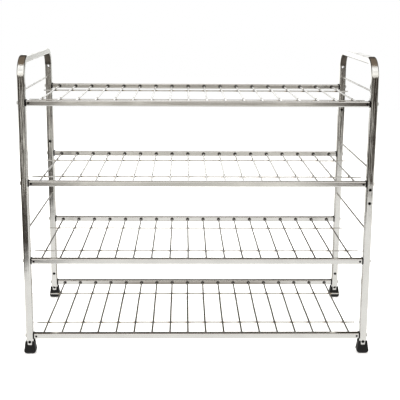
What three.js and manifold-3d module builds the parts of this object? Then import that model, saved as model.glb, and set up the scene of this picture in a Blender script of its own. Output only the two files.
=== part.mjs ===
// A four-tier shoe rack of polished stainless steel, in millimetres, +Z up.
// Two bent square-tube end frames carry eight rectangular rails. Each pair of rails holds a
// welded wire grid, and each rail end is closed by a plastic plug that a bolt through the leg
// screws into. Thin side rods stop shoes sliding out at the ends, and plastic caps are the feet.
// The origin is on the floor, under the middle of the rack. +X runs along the rails, -Y is the front.
import * as THREE from 'three';
import { mergeVertices } from 'three/addons/utils/BufferGeometryUtils.js';
import Module from 'manifold-3d';

// Driving dimensions of the whole rack
const RACK_WIDTH = 762; // over the outer faces of the legs
const RACK_DEPTH = 380; // over the front and back faces of the legs
const RACK_HEIGHT = 660; // from the floor to the top of the end frames
const TIER_COUNT = 4;
const FIRST_TIER = 40; // floor to the middle of the lowest rails
const TIER_PITCH = 174;
const GAP = 0.3; // left between pieces that meet

// End frame: one square tube, bent at the two top corners
const TUBE = 16;
const TUBE_CORNER = 3.5;
const TUBE_WALL = 1;
const BEND_RADIUS = 38; // at the middle of the tube
const BEND_STEPS = 6; // per quarter turn
const LEG_FOOT = 6; // height of the leg's open lower end

// Holes drilled in the legs, by height
const BOLT_HOLE = 5.6;
const SPARE_HOLE = 7;
const CAP_HOLE_HEIGHT = 27; // through every leg, in the foot cap's notch
const TOP_HOLE_HEIGHT = 612; // through the back legs, just under the bend
const BACK_LOW_HOLE_HEIGHT = 65; // inner wall of the back legs
const RIGHT_FRONT_HOLE_HEIGHTS = [346, 376]; // outer wall, right-hand frame only
const RIGHT_BACK_HOLE_HEIGHT = 504; // inner wall, right-hand frame only

// Rails
const RAIL_HEIGHT = 12;
const RAIL_DEPTH = 14;
const RAIL_CORNER = 2.5;
const RAIL_WALL = 1;

// Wire grids
const CROSS_WIRES = 18;
const CROSS_WIRE = 4; // diameter
const LONG_WIRE = 3.2; // diameter
const LONG_WIRE_LENGTH = 744;
const LONG_WIRE_OFFSET = 98; // from the middle of the shelf
const WELD_SINK = 0.6; // how far the crossing wires melt into each other
const WIRE_INSERT = 4; // how far a wire's end goes past the wall it enters
const WIRE_HOLE = 5.2; // punched in the rails

// Side rods, by height above the rail below them. The left end has no middle one: its holes are empty.
const SIDE_ROD = 4; // diameter
const ROD_HOLE = SIDE_ROD + 2 * GAP;
const SIDE_RODS = [
  { name: 'low', height: FIRST_TIER + TIER_PITCH + 67, ends: [-1, 1] },
  { name: 'middle', height: FIRST_TIER + 2 * TIER_PITCH + 32, ends: [1] },
  { name: 'high', height: FIRST_TIER + 3 * TIER_PITCH + 25, ends: [-1, 1] },
];

// Rail end plugs and the bolts that hold them
const FLANGE = 1.6; // thickness between the leg and the rail's end
const FLANGE_LIP = 1; // how far it stands out round the rail
const PLUG_LENGTH = 13; // inside the rail
const BUTTON = 4.4; // snap button's diameter
const BUTTON_HOLE = 5;
const BUTTON_INSET = 6.5; // from the leg's inner face
const BOLT = 5; // shank diameter
const BOLT_LENGTH = 30;
const BOLT_HEAD = 8.4; // diameter
const BOLT_HEAD_HEIGHT = 2.2;
const BOLT_HEAD_EDGE = 1; // height of the head's upright edge
const BOLT_HEAD_TOP = 6.3; // diameter of the flat top
const BOLT_SOCKET = 3.4; // diameter of the driver's socket
const BOLT_SOCKET_DEPTH = 1.3;

// How far cutting shapes reach: one centred on a face goes through that wall only
const ONE_WALL_CUT = 4;
const CUT_MARGIN = 4; // past both faces of what is cut right through

// Sides of the faceted round shapes
const WIRE_SIDES = 6;
const ROUND_SIDES = 8;
const SCALLOP_SIDES = 24;
const WELD_DISTANCE = 1e-4; // vertices closer than this are one

// Foot caps: half widths of the outside at the heights where its slope changes
const CAP_PROFILE = [
  { height: 0, half: 9 },
  { height: 1.6, half: 11 },
  { height: 5, half: 13.2 },
  { height: 8, half: 13.2 },
  { height: 18, half: 11.6 },
  { height: 28, half: 10.5 },
];
const CAP_CORNER = 0.42; // corner radius over half width
const CAP_NOTCH_WIDTH = 13;
const CAP_NOTCH_FLOOR = 19;
const CAP_NOTCH_CORNER = 3;
const CAP_SCALLOP_RADIUS = 8;
const CAP_SCALLOP_DEPTH = 2.5;
const CAP_WIDTH = 2 * Math.max(...CAP_PROFILE.map(({ half }) => half));

// Sizes that follow from them
const LEG_X = RACK_WIDTH / 2 - TUBE / 2;
const LEG_Y = RACK_DEPTH / 2 - TUBE / 2;
const INNER_X = LEG_X - TUBE / 2;
const RAIL_LENGTH = 2 * (INNER_X - 2 * GAP - FLANGE);
const WIRE_PITCH = (2 * INNER_X) / CROSS_WIRES;
const TIER_HEIGHTS = Array.from({ length: TIER_COUNT }, (_, tier) => FIRST_TIER + tier * TIER_PITCH);

// Finishes
const tubeSteel = new THREE.MeshStandardMaterial({ color: 0xd2d0ca, roughness: 0.16, metalness: 1 });
const railSteel = new THREE.MeshStandardMaterial({ color: 0xc8c6c0, roughness: 0.2, metalness: 1 });
const wireSteel = new THREE.MeshStandardMaterial({ color: 0xb9b8b4, roughness: 0.24, metalness: 1 });
const boltSteel = new THREE.MeshStandardMaterial({ color: 0xa9a8a4, roughness: 0.35, metalness: 1 });
const blackPlastic = new THREE.MeshStandardMaterial({ color: 0x171716, roughness: 0.5, metalness: 0 });

const wasm = await Module();
wasm.setup();

// Joining and cutting
function toSolid(geometry) {
  const bare = geometry.clone();
  bare.deleteAttribute('normal');
  bare.deleteAttribute('uv');
  const merged = mergeVertices(bare, WELD_DISTANCE);
  const vertProperties = merged.getAttribute('position').array;
  return new wasm.Manifold(new wasm.Mesh({ numProp: 3, vertProperties, triVerts: merged.index.array }));
}

function toGeometry(solid) {
  const mesh = solid.getMesh();
  const geometry = new THREE.BufferGeometry();
  geometry.setAttribute('position', new THREE.BufferAttribute(mesh.vertProperties, 3));
  geometry.setIndex(new THREE.BufferAttribute(mesh.triVerts, 1));
  return geometry;
}

function cut(body, tools) {
  return tools.reduce((left, tool) => left.subtract(toSolid(tool)), toSolid(body));
}

function join(pieces) {
  return pieces.slice(1).reduce((whole, piece) => whole.add(toSolid(piece)), toSolid(pieces[0]));
}

// Basic shapes
function roundedRectangle(width, height, corner, Outline = THREE.Shape) {
  const x = width / 2 - corner;
  const y = height / 2 - corner;
  const outline = new Outline();
  outline.absarc(x, y, corner, 0, Math.PI / 2);
  outline.absarc(-x, y, corner, Math.PI / 2, Math.PI);
  outline.absarc(-x, -y, corner, Math.PI, 1.5 * Math.PI);
  outline.absarc(x, -y, corner, 1.5 * Math.PI, 2 * Math.PI);
  outline.closePath();
  return outline;
}

function chamferedRectangle(width, height, chamfer) {
  const x = width / 2;
  const y = height / 2;
  const corner = (sx, sy) => [[sx * x, sy * (y - chamfer)], [sx * (x - chamfer), sy * y]];
  const upper = [...corner(1, 1), ...corner(-1, 1).reverse()];
  const lower = [...corner(-1, -1), ...corner(1, -1).reverse()];
  return new THREE.Shape([...upper, ...lower].map(([px, py]) => new THREE.Vector2(px, py)));
}

function tubeSection(width, height, corner, wall) {
  const section = roundedRectangle(width, height, corner);
  section.holes.push(roundedRectangle(width - 2 * wall, height - 2 * wall, corner - wall, THREE.Path));
  return section;
}

function rod(diameter, length, sides) {
  return new THREE.CylinderGeometry(diameter / 2, diameter / 2, length, sides);
}

const rodAlongY = (diameter, length, sides, x, y, z) => rod(diameter, length, sides).translate(x, y, z);

const rodAlongX = (diameter, length, sides, x, y, z) =>
  rod(diameter, length, sides).rotateZ(Math.PI / 2).translate(x, y, z);

// Extrusions with square ends and two facets on each rounded corner
const PRISM = { bevelEnabled: false, curveSegments: 1 };

// A bar of constant section along X, its middle at the origin: the section's x is height, its y depth
function barAlongX(section, length) {
  const bar = new THREE.ExtrudeGeometry(section, { ...PRISM, depth: length });
  return bar.translate(0, 0, -length / 2).rotateY(Math.PI / 2);
}

// The middle line of a bent tube, as the stations where its section is placed
class BentLine extends THREE.Curve {
  constructor() {
    super();
    this.stations = [];
  }

  add(y, z, angle) {
    const point = new THREE.Vector3(0, y, z);
    const tangent = new THREE.Vector3(0, Math.cos(angle), Math.sin(angle));
    this.stations.push({ point, tangent });
  }

  at(share) {
    return this.stations[Math.round(share * (this.stations.length - 1))];
  }

  getPointAt(share, target = new THREE.Vector3()) {
    return target.copy(this.at(share).point);
  }

  getTangentAt(share, target = new THREE.Vector3()) {
    return target.copy(this.at(share).tangent);
  }
}

// One end frame: up the front leg, back along the top and down the back leg
function endFrame(isRight) {
  const line = new BentLine();
  const bendY = LEG_Y - BEND_RADIUS;
  const bendZ = RACK_HEIGHT - TUBE / 2 - BEND_RADIUS;
  line.add(-LEG_Y, LEG_FOOT, Math.PI / 2);
  for (const middle of [-bendY, bendY]) {
    for (let step = 0; step <= BEND_STEPS; step += 1) {
      const turn = (step / BEND_STEPS) * (Math.PI / 2);
      const heading = (middle < 0 ? Math.PI / 2 : 0) - turn;
      const y = middle - BEND_RADIUS * Math.sin(heading);
      const z = bendZ + BEND_RADIUS * Math.cos(heading);
      line.add(y, z, heading);
    }
  }
  line.add(LEG_Y, LEG_FOOT, -Math.PI / 2);

  const section = tubeSection(TUBE, TUBE, TUBE_CORNER, TUBE_WALL);
  const steps = line.stations.length - 1;
  const tube = new THREE.ExtrudeGeometry(section, { steps, extrudePath: line, curveSegments: 1 });

  const throughLength = TUBE + CUT_MARGIN;
  const holes = [];
  const sideHole = (y, z) => holes.push(rodAlongX(BOLT_HOLE, throughLength, ROUND_SIDES, 0, y, z));
  const rodHole = (y, z) => holes.push(rodAlongY(ROD_HOLE, ONE_WALL_CUT, ROUND_SIDES, 0, y, z));
  const wallHole = (y, z) => holes.push(rodAlongY(SPARE_HOLE, ONE_WALL_CUT, ROUND_SIDES, 0, y, z));
  const throughHole = (y, z) => holes.push(rodAlongY(SPARE_HOLE, throughLength, ROUND_SIDES, 0, y, z));
  const innerWall = LEG_Y - TUBE / 2;
  const outerWall = LEG_Y + TUBE / 2;
  for (const side of [-1, 1]) {
    TIER_HEIGHTS.forEach((height) => sideHole(side * LEG_Y, height));
    for (const { height, ends } of SIDE_RODS) {
      const isFilled = ends.includes(isRight ? 1 : -1);
      (isFilled ? rodHole : wallHole)(side * innerWall, height);
    }
    throughHole(side * LEG_Y, CAP_HOLE_HEIGHT);
  }
  throughHole(LEG_Y, TOP_HOLE_HEIGHT);
  wallHole(innerWall, BACK_LOW_HOLE_HEIGHT);
  if (isRight) {
    RIGHT_FRONT_HOLE_HEIGHTS.forEach((height) => wallHole(-outerWall, height));
    wallHole(innerWall, RIGHT_BACK_HOLE_HEIGHT);
  }
  return toGeometry(cut(tube, holes));
}

// Distance of each cross wire from the middle of the shelf, half a pitch in from each leg
function wirePositions() {
  return Array.from({ length: CROSS_WIRES }, (_, wire) => (wire + 0.5) * WIRE_PITCH - INNER_X);
}

// A front rail: wire holes in its back wall, and a snap button's hole at each end of its front wall
function rail() {
  const section = tubeSection(RAIL_HEIGHT, RAIL_DEPTH, RAIL_CORNER, RAIL_WALL);
  const wireHole = (x) => rodAlongY(WIRE_HOLE, ONE_WALL_CUT, WIRE_SIDES, x, RAIL_DEPTH / 2, 0);
  const holes = wirePositions().map(wireHole);
  for (const side of [-1, 1]) {
    const x = side * (INNER_X - BUTTON_INSET);
    holes.push(rodAlongY(BUTTON_HOLE, ONE_WALL_CUT, ROUND_SIDES, x, -RAIL_DEPTH / 2, 0));
  }
  return toGeometry(cut(barAlongX(section, RAIL_LENGTH), holes));
}

// Cross wires from rail to rail, welded on top of two long wires
function wireGrid() {
  const wireLength = 2 * (LEG_Y - RAIL_DEPTH / 2 + RAIL_WALL + WIRE_INSERT);
  const longWireDrop = (CROSS_WIRE + LONG_WIRE) / 2 - WELD_SINK;
  const crossWires = wirePositions().map((x) => rodAlongY(CROSS_WIRE, wireLength, WIRE_SIDES, x, 0, 0));
  const longWires = [-1, 1].map((side) =>
    rodAlongX(LONG_WIRE, LONG_WIRE_LENGTH, WIRE_SIDES, 0, side * LONG_WIRE_OFFSET, -longWireDrop));
  return toGeometry(join([...longWires, ...crossWires]));
}

// A side rod runs from inside the front leg to inside the back leg
function sideRod() {
  return rod(SIDE_ROD, 2 * (LEG_Y - TUBE / 2 + TUBE_WALL + WIRE_INSERT), ROUND_SIDES);
}

// A right-hand front plug: flange against the leg at x = 0, body into the rail, button towards the front
function endPlug() {
  const lip = 2 * FLANGE_LIP;
  const flangeSection = chamferedRectangle(RAIL_HEIGHT + lip, RAIL_DEPTH + lip, RAIL_CORNER / 2);
  const inset = 2 * (RAIL_WALL + GAP);
  const bodySection = chamferedRectangle(RAIL_HEIGHT - inset, RAIL_DEPTH - inset, RAIL_CORNER / 2);
  const bodyLength = FLANGE / 2 + GAP + PLUG_LENGTH;
  const buttonLength = RAIL_DEPTH / 2 + GAP;
  const flange = barAlongX(flangeSection, FLANGE).translate(-FLANGE / 2, 0, 0);
  const body = barAlongX(bodySection, bodyLength).translate(-FLANGE / 2 - bodyLength / 2, 0, 0);
  const button = rodAlongY(BUTTON, buttonLength, ROUND_SIDES, GAP - BUTTON_INSET, -buttonLength / 2, 0);
  const boreLength = 2 * (FLANGE + GAP + PLUG_LENGTH + CUT_MARGIN);
  const bore = rodAlongX(BOLT_HOLE, boreLength, ROUND_SIDES, 0, 0, 0);
  return toGeometry(join([flange, body, button]).subtract(toSolid(bore)));
}

// A right-hand bolt: the head's seat at x = 0, the shank running towards -X
function bolt() {
  const shank = BOLT / 2;
  const head = BOLT_HEAD / 2;
  const socket = BOLT_SOCKET / 2;
  const socketFloor = BOLT_HEAD_HEIGHT - BOLT_SOCKET_DEPTH;
  const profile = [
    new THREE.Vector2(0, -BOLT_LENGTH),
    new THREE.Vector2(shank, -BOLT_LENGTH),
    new THREE.Vector2(shank, 0),
    new THREE.Vector2(head, 0),
    new THREE.Vector2(head, BOLT_HEAD_EDGE),
    new THREE.Vector2(BOLT_HEAD_TOP / 2, BOLT_HEAD_HEIGHT),
    new THREE.Vector2(socket, BOLT_HEAD_HEIGHT),
    new THREE.Vector2(socket, socketFloor),
    new THREE.Vector2(0, socketFloor),
  ];
  return new THREE.LatheGeometry(profile, ROUND_SIDES).rotateZ(-Math.PI / 2);
}

// A foot cap: a flared boot, notched front and back and scalloped at the sides
function footCap() {
  const lastStation = CAP_PROFILE.length - 1;
  const outline = roundedRectangle(2, 2, CAP_CORNER);
  const boot = new THREE.ExtrudeGeometry(outline, { ...PRISM, depth: lastStation, steps: lastStation });
  const position = boot.getAttribute('position');
  for (let i = 0; i < position.count; i += 1) {
    const { height, half } = CAP_PROFILE[Math.round(position.getZ(i))];
    position.setXYZ(i, position.getX(i) * half, position.getY(i) * half, height);
  }

  const top = CAP_PROFILE[lastStation].height;
  const cutLength = CAP_WIDTH + CUT_MARGIN;
  const socketSection = roundedRectangle(TUBE + 2 * GAP, TUBE + 2 * GAP, TUBE_CORNER + GAP);
  const socket = new THREE.ExtrudeGeometry(socketSection, { ...PRISM, depth: top });
  socket.translate(0, 0, LEG_FOOT - GAP);

  const notchHeight = top;
  const notchSection = roundedRectangle(CAP_NOTCH_WIDTH, notchHeight, CAP_NOTCH_CORNER);
  const notch = new THREE.ExtrudeGeometry(notchSection, { ...PRISM, depth: cutLength });
  notch.translate(0, 0, -cutLength / 2).rotateX(Math.PI / 2);
  notch.translate(0, 0, CAP_NOTCH_FLOOR + notchHeight / 2);

  const scallopHeight = top - CAP_SCALLOP_DEPTH + CAP_SCALLOP_RADIUS;
  const scallop = rodAlongX(2 * CAP_SCALLOP_RADIUS, cutLength, SCALLOP_SIDES, 0, 0, scallopHeight);
  return toGeometry(cut(boot, [socket, notch, scallop]));
}

// Putting the rack together
const rack = new THREE.Group();

function place(name, geometry, material, x, y, z) {
  const mesh = new THREE.Mesh(geometry, material);
  mesh.name = name;
  mesh.position.set(x, y, z);
  rack.add(mesh);
  return mesh;
}

const SIDES = [{ word: 'left', x: -1 }, { word: 'right', x: 1 }];
const ENDS = [{ word: 'front', y: -1 }, { word: 'back', y: 1 }];

// Turns a right-hand front piece to face the corner that it stands at, half a turn about one axis
function faceCorner(mesh, side, end) {
  if (side.x < 0 && end.y > 0) mesh.rotation.z = Math.PI;
  else if (side.x < 0) mesh.rotation.y = Math.PI;
  else if (end.y > 0) mesh.rotation.x = Math.PI;
}

const rodGeometry = sideRod();
const capGeometry = footCap();
for (const side of SIDES) {
  place(`end_frame_${side.word}`, endFrame(side.x > 0), tubeSteel, side.x * LEG_X, 0, 0);
  for (const { name, height } of SIDE_RODS.filter(({ ends }) => ends.includes(side.x))) {
    place(`side_rod_${side.word}_${name}`, rodGeometry, wireSteel, side.x * LEG_X, 0, height);
  }
  for (const end of ENDS) {
    place(`foot_cap_${end.word}_${side.word}`, capGeometry, blackPlastic, side.x * LEG_X, end.y * LEG_Y, 0);
  }
}

const railGeometry = rail();
const gridGeometry = wireGrid();
const plugGeometry = endPlug();
const boltGeometry = bolt();
TIER_HEIGHTS.forEach((height, index) => {
  const tier = `tier_${index + 1}`;
  place(`${tier}_wire_grid`, gridGeometry, wireSteel, 0, 0, height);
  for (const end of ENDS) {
    const y = end.y * LEG_Y;
    const turned = place(`${tier}_rail_${end.word}`, railGeometry, railSteel, 0, y, height);
    turned.rotation.z = end.y > 0 ? Math.PI : 0;
    for (const side of SIDES) {
      const corner = `${end.word}_${side.word}`;
      const flangeSeat = side.x * (INNER_X - GAP);
      const headSeat = side.x * (INNER_X + TUBE + GAP);
      const plug = place(`${tier}_end_plug_${corner}`, plugGeometry, blackPlastic, flangeSeat, y, height);
      const screw = place(`${tier}_bolt_${corner}`, boltGeometry, boltSteel, headSeat, y, height);
      faceCorner(plug, side, end);
      faceCorner(screw, side, end);
    }
  }
});

export default rack;
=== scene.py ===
# A four-tier shoe rack of polished stainless steel: two bent square-tube end frames with side rods
# and foot caps, and four tiers of two rails, a welded wire grid, end plugs and bolts.
import math

import bmesh
import bpy
from mathutils import Matrix, Vector


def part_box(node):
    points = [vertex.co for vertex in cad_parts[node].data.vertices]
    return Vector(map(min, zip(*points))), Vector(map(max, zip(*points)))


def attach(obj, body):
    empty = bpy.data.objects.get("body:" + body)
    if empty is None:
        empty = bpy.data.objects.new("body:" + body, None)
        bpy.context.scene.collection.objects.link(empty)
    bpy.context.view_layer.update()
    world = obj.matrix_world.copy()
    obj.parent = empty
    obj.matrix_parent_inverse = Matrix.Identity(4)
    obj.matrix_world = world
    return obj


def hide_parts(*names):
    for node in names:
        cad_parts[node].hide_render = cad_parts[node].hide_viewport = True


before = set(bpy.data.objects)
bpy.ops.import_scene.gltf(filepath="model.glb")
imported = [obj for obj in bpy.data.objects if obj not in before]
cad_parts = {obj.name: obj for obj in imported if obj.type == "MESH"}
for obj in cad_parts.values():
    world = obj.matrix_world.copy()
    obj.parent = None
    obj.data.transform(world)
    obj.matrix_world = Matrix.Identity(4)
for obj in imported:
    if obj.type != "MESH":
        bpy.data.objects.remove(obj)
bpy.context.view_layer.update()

MM = 0.001

# ------------------------------------------------------------------------------------------------
# End frames. Each is one length of square stainless tube with a 1 mm wall, bent at the two top
# corners and then polished. Its holes take the bolts of the rails, the side rods and the catches
# of the maker's other racks, so some stay empty.
# ------------------------------------------------------------------------------------------------
frame_low, frame_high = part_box("end_frame_left")
TUBE = frame_high.x - frame_low.x
LEG_X = -(frame_low.x + frame_high.x) / 2
LEG_Y = frame_high.y - TUBE / 2
LEG_FOOT = frame_low.z
TUBE_TOP = frame_high.z - TUBE / 2
TUBE_CORNER = 3.5 * MM
TUBE_WALL = 1.0 * MM
BEND_RADIUS = 38 * MM
BEND_STEPS = 20
OUTER_CORNER_STEPS = 7
INNER_CORNER_STEPS = 5
BIT_SIDES = 28
PAST_END = 2 * MM  # how far the hollow goes past the tube's ends
BOLT_BORE = 2.8 * MM
SPARE_BORE = 3.5 * MM
ROD_BORE = 2.3 * MM
WALL_CUT = 4 * MM  # long enough to go through one wall
CAP_HOLE, LOW_HOLE, TOP_HOLE = 27 * MM, 65 * MM, 612 * MM  # heights of the spare holes
RIGHT_FRONT_HOLES = [346 * MM, 376 * MM]
RIGHT_BACK_HOLE = 504 * MM
TIERS = [1, 2, 3, 4]
SIDES = {"left": -1, "right": 1}
ENDS = {"front": -1, "back": 1}
ROD_LEVELS = {"low": ["left", "right"], "middle": ["right"], "high": ["left", "right"]}


def centre(node):
    """The middle of a CAD node's box."""
    low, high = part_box(node)
    return (low + high) / 2


TIER_HEIGHTS = {tier: centre(f"tier_{tier}_rail_front").z for tier in TIERS}
ROD_HEIGHTS = {level: centre(f"side_rod_right_{level}").z for level in ROD_LEVELS}


def linear(colour):
    """An sRGB hex colour as the linear RGBA that Blender's sockets hold."""
    channels = [int(colour[i : i + 2], 16) / 255 for i in (1, 3, 5)]
    curved = [c / 12.92 if c <= 0.04045 else ((c + 0.055) / 1.055) ** 2.4 for c in channels]
    return (*curved, 1.0)


def put(tree, kind, inputs=None, **settings):
    """Adds a node. settings are its properties; inputs are values or outputs to link, by socket."""
    made = tree.nodes.new(kind)
    for key, value in settings.items():
        setattr(made, key, value)
    for key, value in (inputs or {}).items():
        several = value if isinstance(value, list) else [value]
        for one in several:
            if isinstance(one, bpy.types.Node):
                one = next(output for output in one.outputs if output.enabled)
            if isinstance(one, bpy.types.NodeSocket):
                tree.links.new(one, made.inputs[key])
            else:
                made.inputs[key].default_value = one
    return made


def shaped_tree(name, sizes):
    """A Geometry Nodes tree with a named input for each size. Returns it, its input and its output."""
    tree = bpy.data.node_groups.new(name, "GeometryNodeTree")
    tree.interface.new_socket("Geometry", in_out="OUTPUT", socket_type="NodeSocketGeometry")
    tree.interface.new_socket("Geometry", in_out="INPUT", socket_type="NodeSocketGeometry")
    for size, kind in sizes.items():
        tree.interface.new_socket(size, in_out="INPUT", socket_type=f"NodeSocket{kind}")
    return tree, tree.nodes.new("NodeGroupInput"), tree.nodes.new("NodeGroupOutput")


def grown(name, start, tree, values, level=True):
    """Runs a tree on a starting mesh and returns the plain mesh. level keeps large flats looking flat."""
    maker = bpy.data.objects.new(name, start)
    bpy.context.scene.collection.objects.link(maker)
    modifier = maker.modifiers.new(tree.name, "NODES")
    modifier.node_group = tree
    for item in tree.interface.items_tree:
        if item.in_out == "INPUT" and item.name in values:
            modifier[item.identifier] = values[item.name]
    if level:
        normals = maker.modifiers.new("level flats", "WEIGHTED_NORMAL")
        normals.keep_sharp = True
        normals.weight = 100
    graph = bpy.context.evaluated_depsgraph_get()
    mesh = bpy.data.meshes.new_from_object(maker.evaluated_get(graph))
    mesh.name = name
    bpy.data.objects.remove(maker)
    return mesh


def set_down(name, mesh, place=Matrix.Identity(4)):
    """A finished piece: its object stays at the origin and its mesh goes to its place."""
    made = bpy.data.objects.new(name, mesh.copy())
    made.data.name = name
    made.data.transform(place)
    bpy.context.scene.collection.objects.link(made)
    return made


def drilled_tube_tree():
    """A hollow tube along the starting mesh's edges, bent at its corners, drilled at each loose point."""
    tree, size, out = shaped_tree("drilled_tube", {
        "Width": "Float", "Height": "Float", "Corner": "Float", "Wall": "Float",
        "Bend radius": "Float", "Bend steps": "Int", "Finish": "Material",
    })
    sizes = size.outputs

    bore = put(tree, "GeometryNodeInputNamedAttribute", {"Name": "bore"})
    reach = put(tree, "GeometryNodeInputNamedAttribute", {"Name": "reach"})
    drill = put(tree, "GeometryNodeInputNamedAttribute", {"Name": "drill"}, data_type="FLOAT_VECTOR")
    is_hole = put(tree, "FunctionNodeCompare", {"A": bore}, operation="GREATER_THAN")
    split = put(tree, "GeometryNodeSeparateGeometry", {
        "Geometry": sizes["Geometry"], "Selection": is_hole,
    })
    line = put(tree, "GeometryNodeMeshToCurve", {"Mesh": split.outputs["Inverted"]})
    bent = put(tree, "GeometryNodeFilletCurve", {
        "Curve": line, "Count": sizes["Bend steps"], "Radius": sizes["Bend radius"],
    }, mode="POLY")

    outline = put(tree, "GeometryNodeCurvePrimitiveQuadrilateral", {
        "Width": sizes["Width"], "Height": sizes["Height"],
    })
    rounded = put(tree, "GeometryNodeFilletCurve", {
        "Curve": outline, "Count": OUTER_CORNER_STEPS, "Radius": sizes["Corner"],
    }, mode="POLY")
    skin = put(tree, "GeometryNodeCurveToMesh", {
        "Curve": bent, "Profile Curve": rounded, "Fill Caps": True,
    })

    both_walls = put(tree, "ShaderNodeMath", {0: sizes["Wall"], 1: 2.0}, operation="MULTIPLY")
    inner_width = put(tree, "ShaderNodeMath", {0: sizes["Width"], 1: both_walls}, operation="SUBTRACT")
    inner_height = put(tree, "ShaderNodeMath", {0: sizes["Height"], 1: both_walls}, operation="SUBTRACT")
    inner_corner = put(tree, "ShaderNodeMath", {
        0: sizes["Corner"], 1: sizes["Wall"],
    }, operation="SUBTRACT")
    inner_outline = put(tree, "GeometryNodeCurvePrimitiveQuadrilateral", {
        "Width": inner_width, "Height": inner_height,
    })
    inner_rounded = put(tree, "GeometryNodeFilletCurve", {
        "Curve": inner_outline, "Count": INNER_CORNER_STEPS, "Radius": inner_corner,
    }, mode="POLY")
    start = put(tree, "GeometryNodeCurveEndpointSelection", {"Start Size": 1, "End Size": 0})
    finish = put(tree, "GeometryNodeCurveEndpointSelection", {"Start Size": 0, "End Size": 1})
    tangent = put(tree, "GeometryNodeInputTangent")
    onward = put(tree, "ShaderNodeVectorMath", {0: tangent, "Scale": PAST_END}, operation="SCALE")
    backward = put(tree, "ShaderNodeVectorMath", {0: tangent, "Scale": -PAST_END}, operation="SCALE")
    opened = put(tree, "GeometryNodeSetPosition", {
        "Geometry": bent, "Selection": start, "Offset": backward,
    })
    open_both = put(tree, "GeometryNodeSetPosition", {
        "Geometry": opened, "Selection": finish, "Offset": onward,
    })
    hollow = put(tree, "GeometryNodeCurveToMesh", {
        "Curve": open_both, "Profile Curve": inner_rounded, "Fill Caps": True,
    })

    bit = put(tree, "GeometryNodeMeshCylinder", {"Vertices": BIT_SIDES, "Radius": 1.0, "Depth": 1.0})
    aim = put(tree, "FunctionNodeAlignRotationToVector", {"Vector": drill})
    bit_size = put(tree, "ShaderNodeCombineXYZ", {"X": bore, "Y": bore, "Z": reach})
    bits = put(tree, "GeometryNodeInstanceOnPoints", {
        "Points": split.outputs["Selection"], "Instance": bit, "Rotation": aim, "Scale": bit_size,
    })
    real_bits = put(tree, "GeometryNodeRealizeInstances", {"Geometry": bits})

    shell = put(tree, "GeometryNodeMeshBoolean", {"Mesh 1": skin, "Mesh 2": hollow}, solver="EXACT")
    drilled = put(tree, "GeometryNodeMeshBoolean", {
        "Mesh 1": shell.outputs["Mesh"], "Mesh 2": real_bits,
    }, solver="EXACT")

    angle = put(tree, "GeometryNodeInputMeshEdgeAngle")
    crease = put(tree, "FunctionNodeCompare", {
        "A": angle, "B": math.radians(35),
    }, operation="GREATER_THAN")
    smooth = put(tree, "GeometryNodeSetShadeSmooth", {
        "Geometry": drilled.outputs["Mesh"], "Selection": crease, "Shade Smooth": False,
    }, domain="EDGE")
    real = put(tree, "GeometryNodeRealizeInstances", {"Geometry": smooth})
    coated = put(tree, "GeometryNodeSetMaterial", {"Geometry": real, "Material": sizes["Finish"]})
    tree.links.new(coated.outputs[0], out.inputs[0])
    return tree


def tube_start(name, line, holes):
    """The starting mesh of a drilled tube: points joined by edges, and a loose point for each hole."""
    mesh = bpy.data.meshes.new(name)
    points = list(line) + [cut["at"] for cut in holes]
    mesh.from_pydata(points, [(i, i + 1) for i in range(len(line) - 1)], [])
    bores = mesh.attributes.new("bore", "FLOAT", "POINT")
    reaches = mesh.attributes.new("reach", "FLOAT", "POINT")
    drills = mesh.attributes.new("drill", "FLOAT_VECTOR", "POINT")
    for i, cut in enumerate(holes, start=len(line)):
        bores.data[i].value = cut["bore"]
        reaches.data[i].value = cut["reach"]
        drills.data[i].vector = cut["along"]
    return mesh


def hole(at, bore, reach, along=(0, 1, 0)):
    """One hole for the drilled tube: its middle, its radius, how long the cut is, and its direction."""
    return {"at": at, "bore": bore, "reach": reach, "along": along}


def frame_holes(side):
    """Every hole of one end frame, its legs' middle line in the plane x = 0."""
    through, one_wall = TUBE + WALL_CUT, WALL_CUT
    back_inner, front_outer = LEG_Y - TUBE / 2, -LEG_Y - TUBE / 2
    holes = [
        hole((0, LEG_Y, TOP_HOLE), SPARE_BORE, through),
        hole((0, back_inner, LOW_HOLE), SPARE_BORE, one_wall),
    ]
    for y in (-LEG_Y, LEG_Y):
        inner = y - math.copysign(TUBE / 2, y)
        holes.append(hole((0, y, CAP_HOLE), SPARE_BORE, through))
        for height in TIER_HEIGHTS.values():
            holes.append(hole((0, y, height), BOLT_BORE, through, (1, 0, 0)))
        for level, height in ROD_HEIGHTS.items():
            bore = ROD_BORE if side in ROD_LEVELS[level] else SPARE_BORE
            holes.append(hole((0, inner, height), bore, one_wall))
    if side == "right":
        for height in RIGHT_FRONT_HOLES:
            holes.append(hole((0, front_outer, height), SPARE_BORE, one_wall))
        holes.append(hole((0, back_inner, RIGHT_BACK_HOLE), SPARE_BORE, one_wall))
    return holes


def bare_material(name):
    """A material with no shader yet. Returns it, its node tree and the place of a point on its object."""
    made = bpy.data.materials.new(name)
    made.use_nodes = True
    made.node_tree.nodes.clear()
    return made, made.node_tree, put(made.node_tree, "ShaderNodeTexCoord").outputs["Object"]


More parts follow.
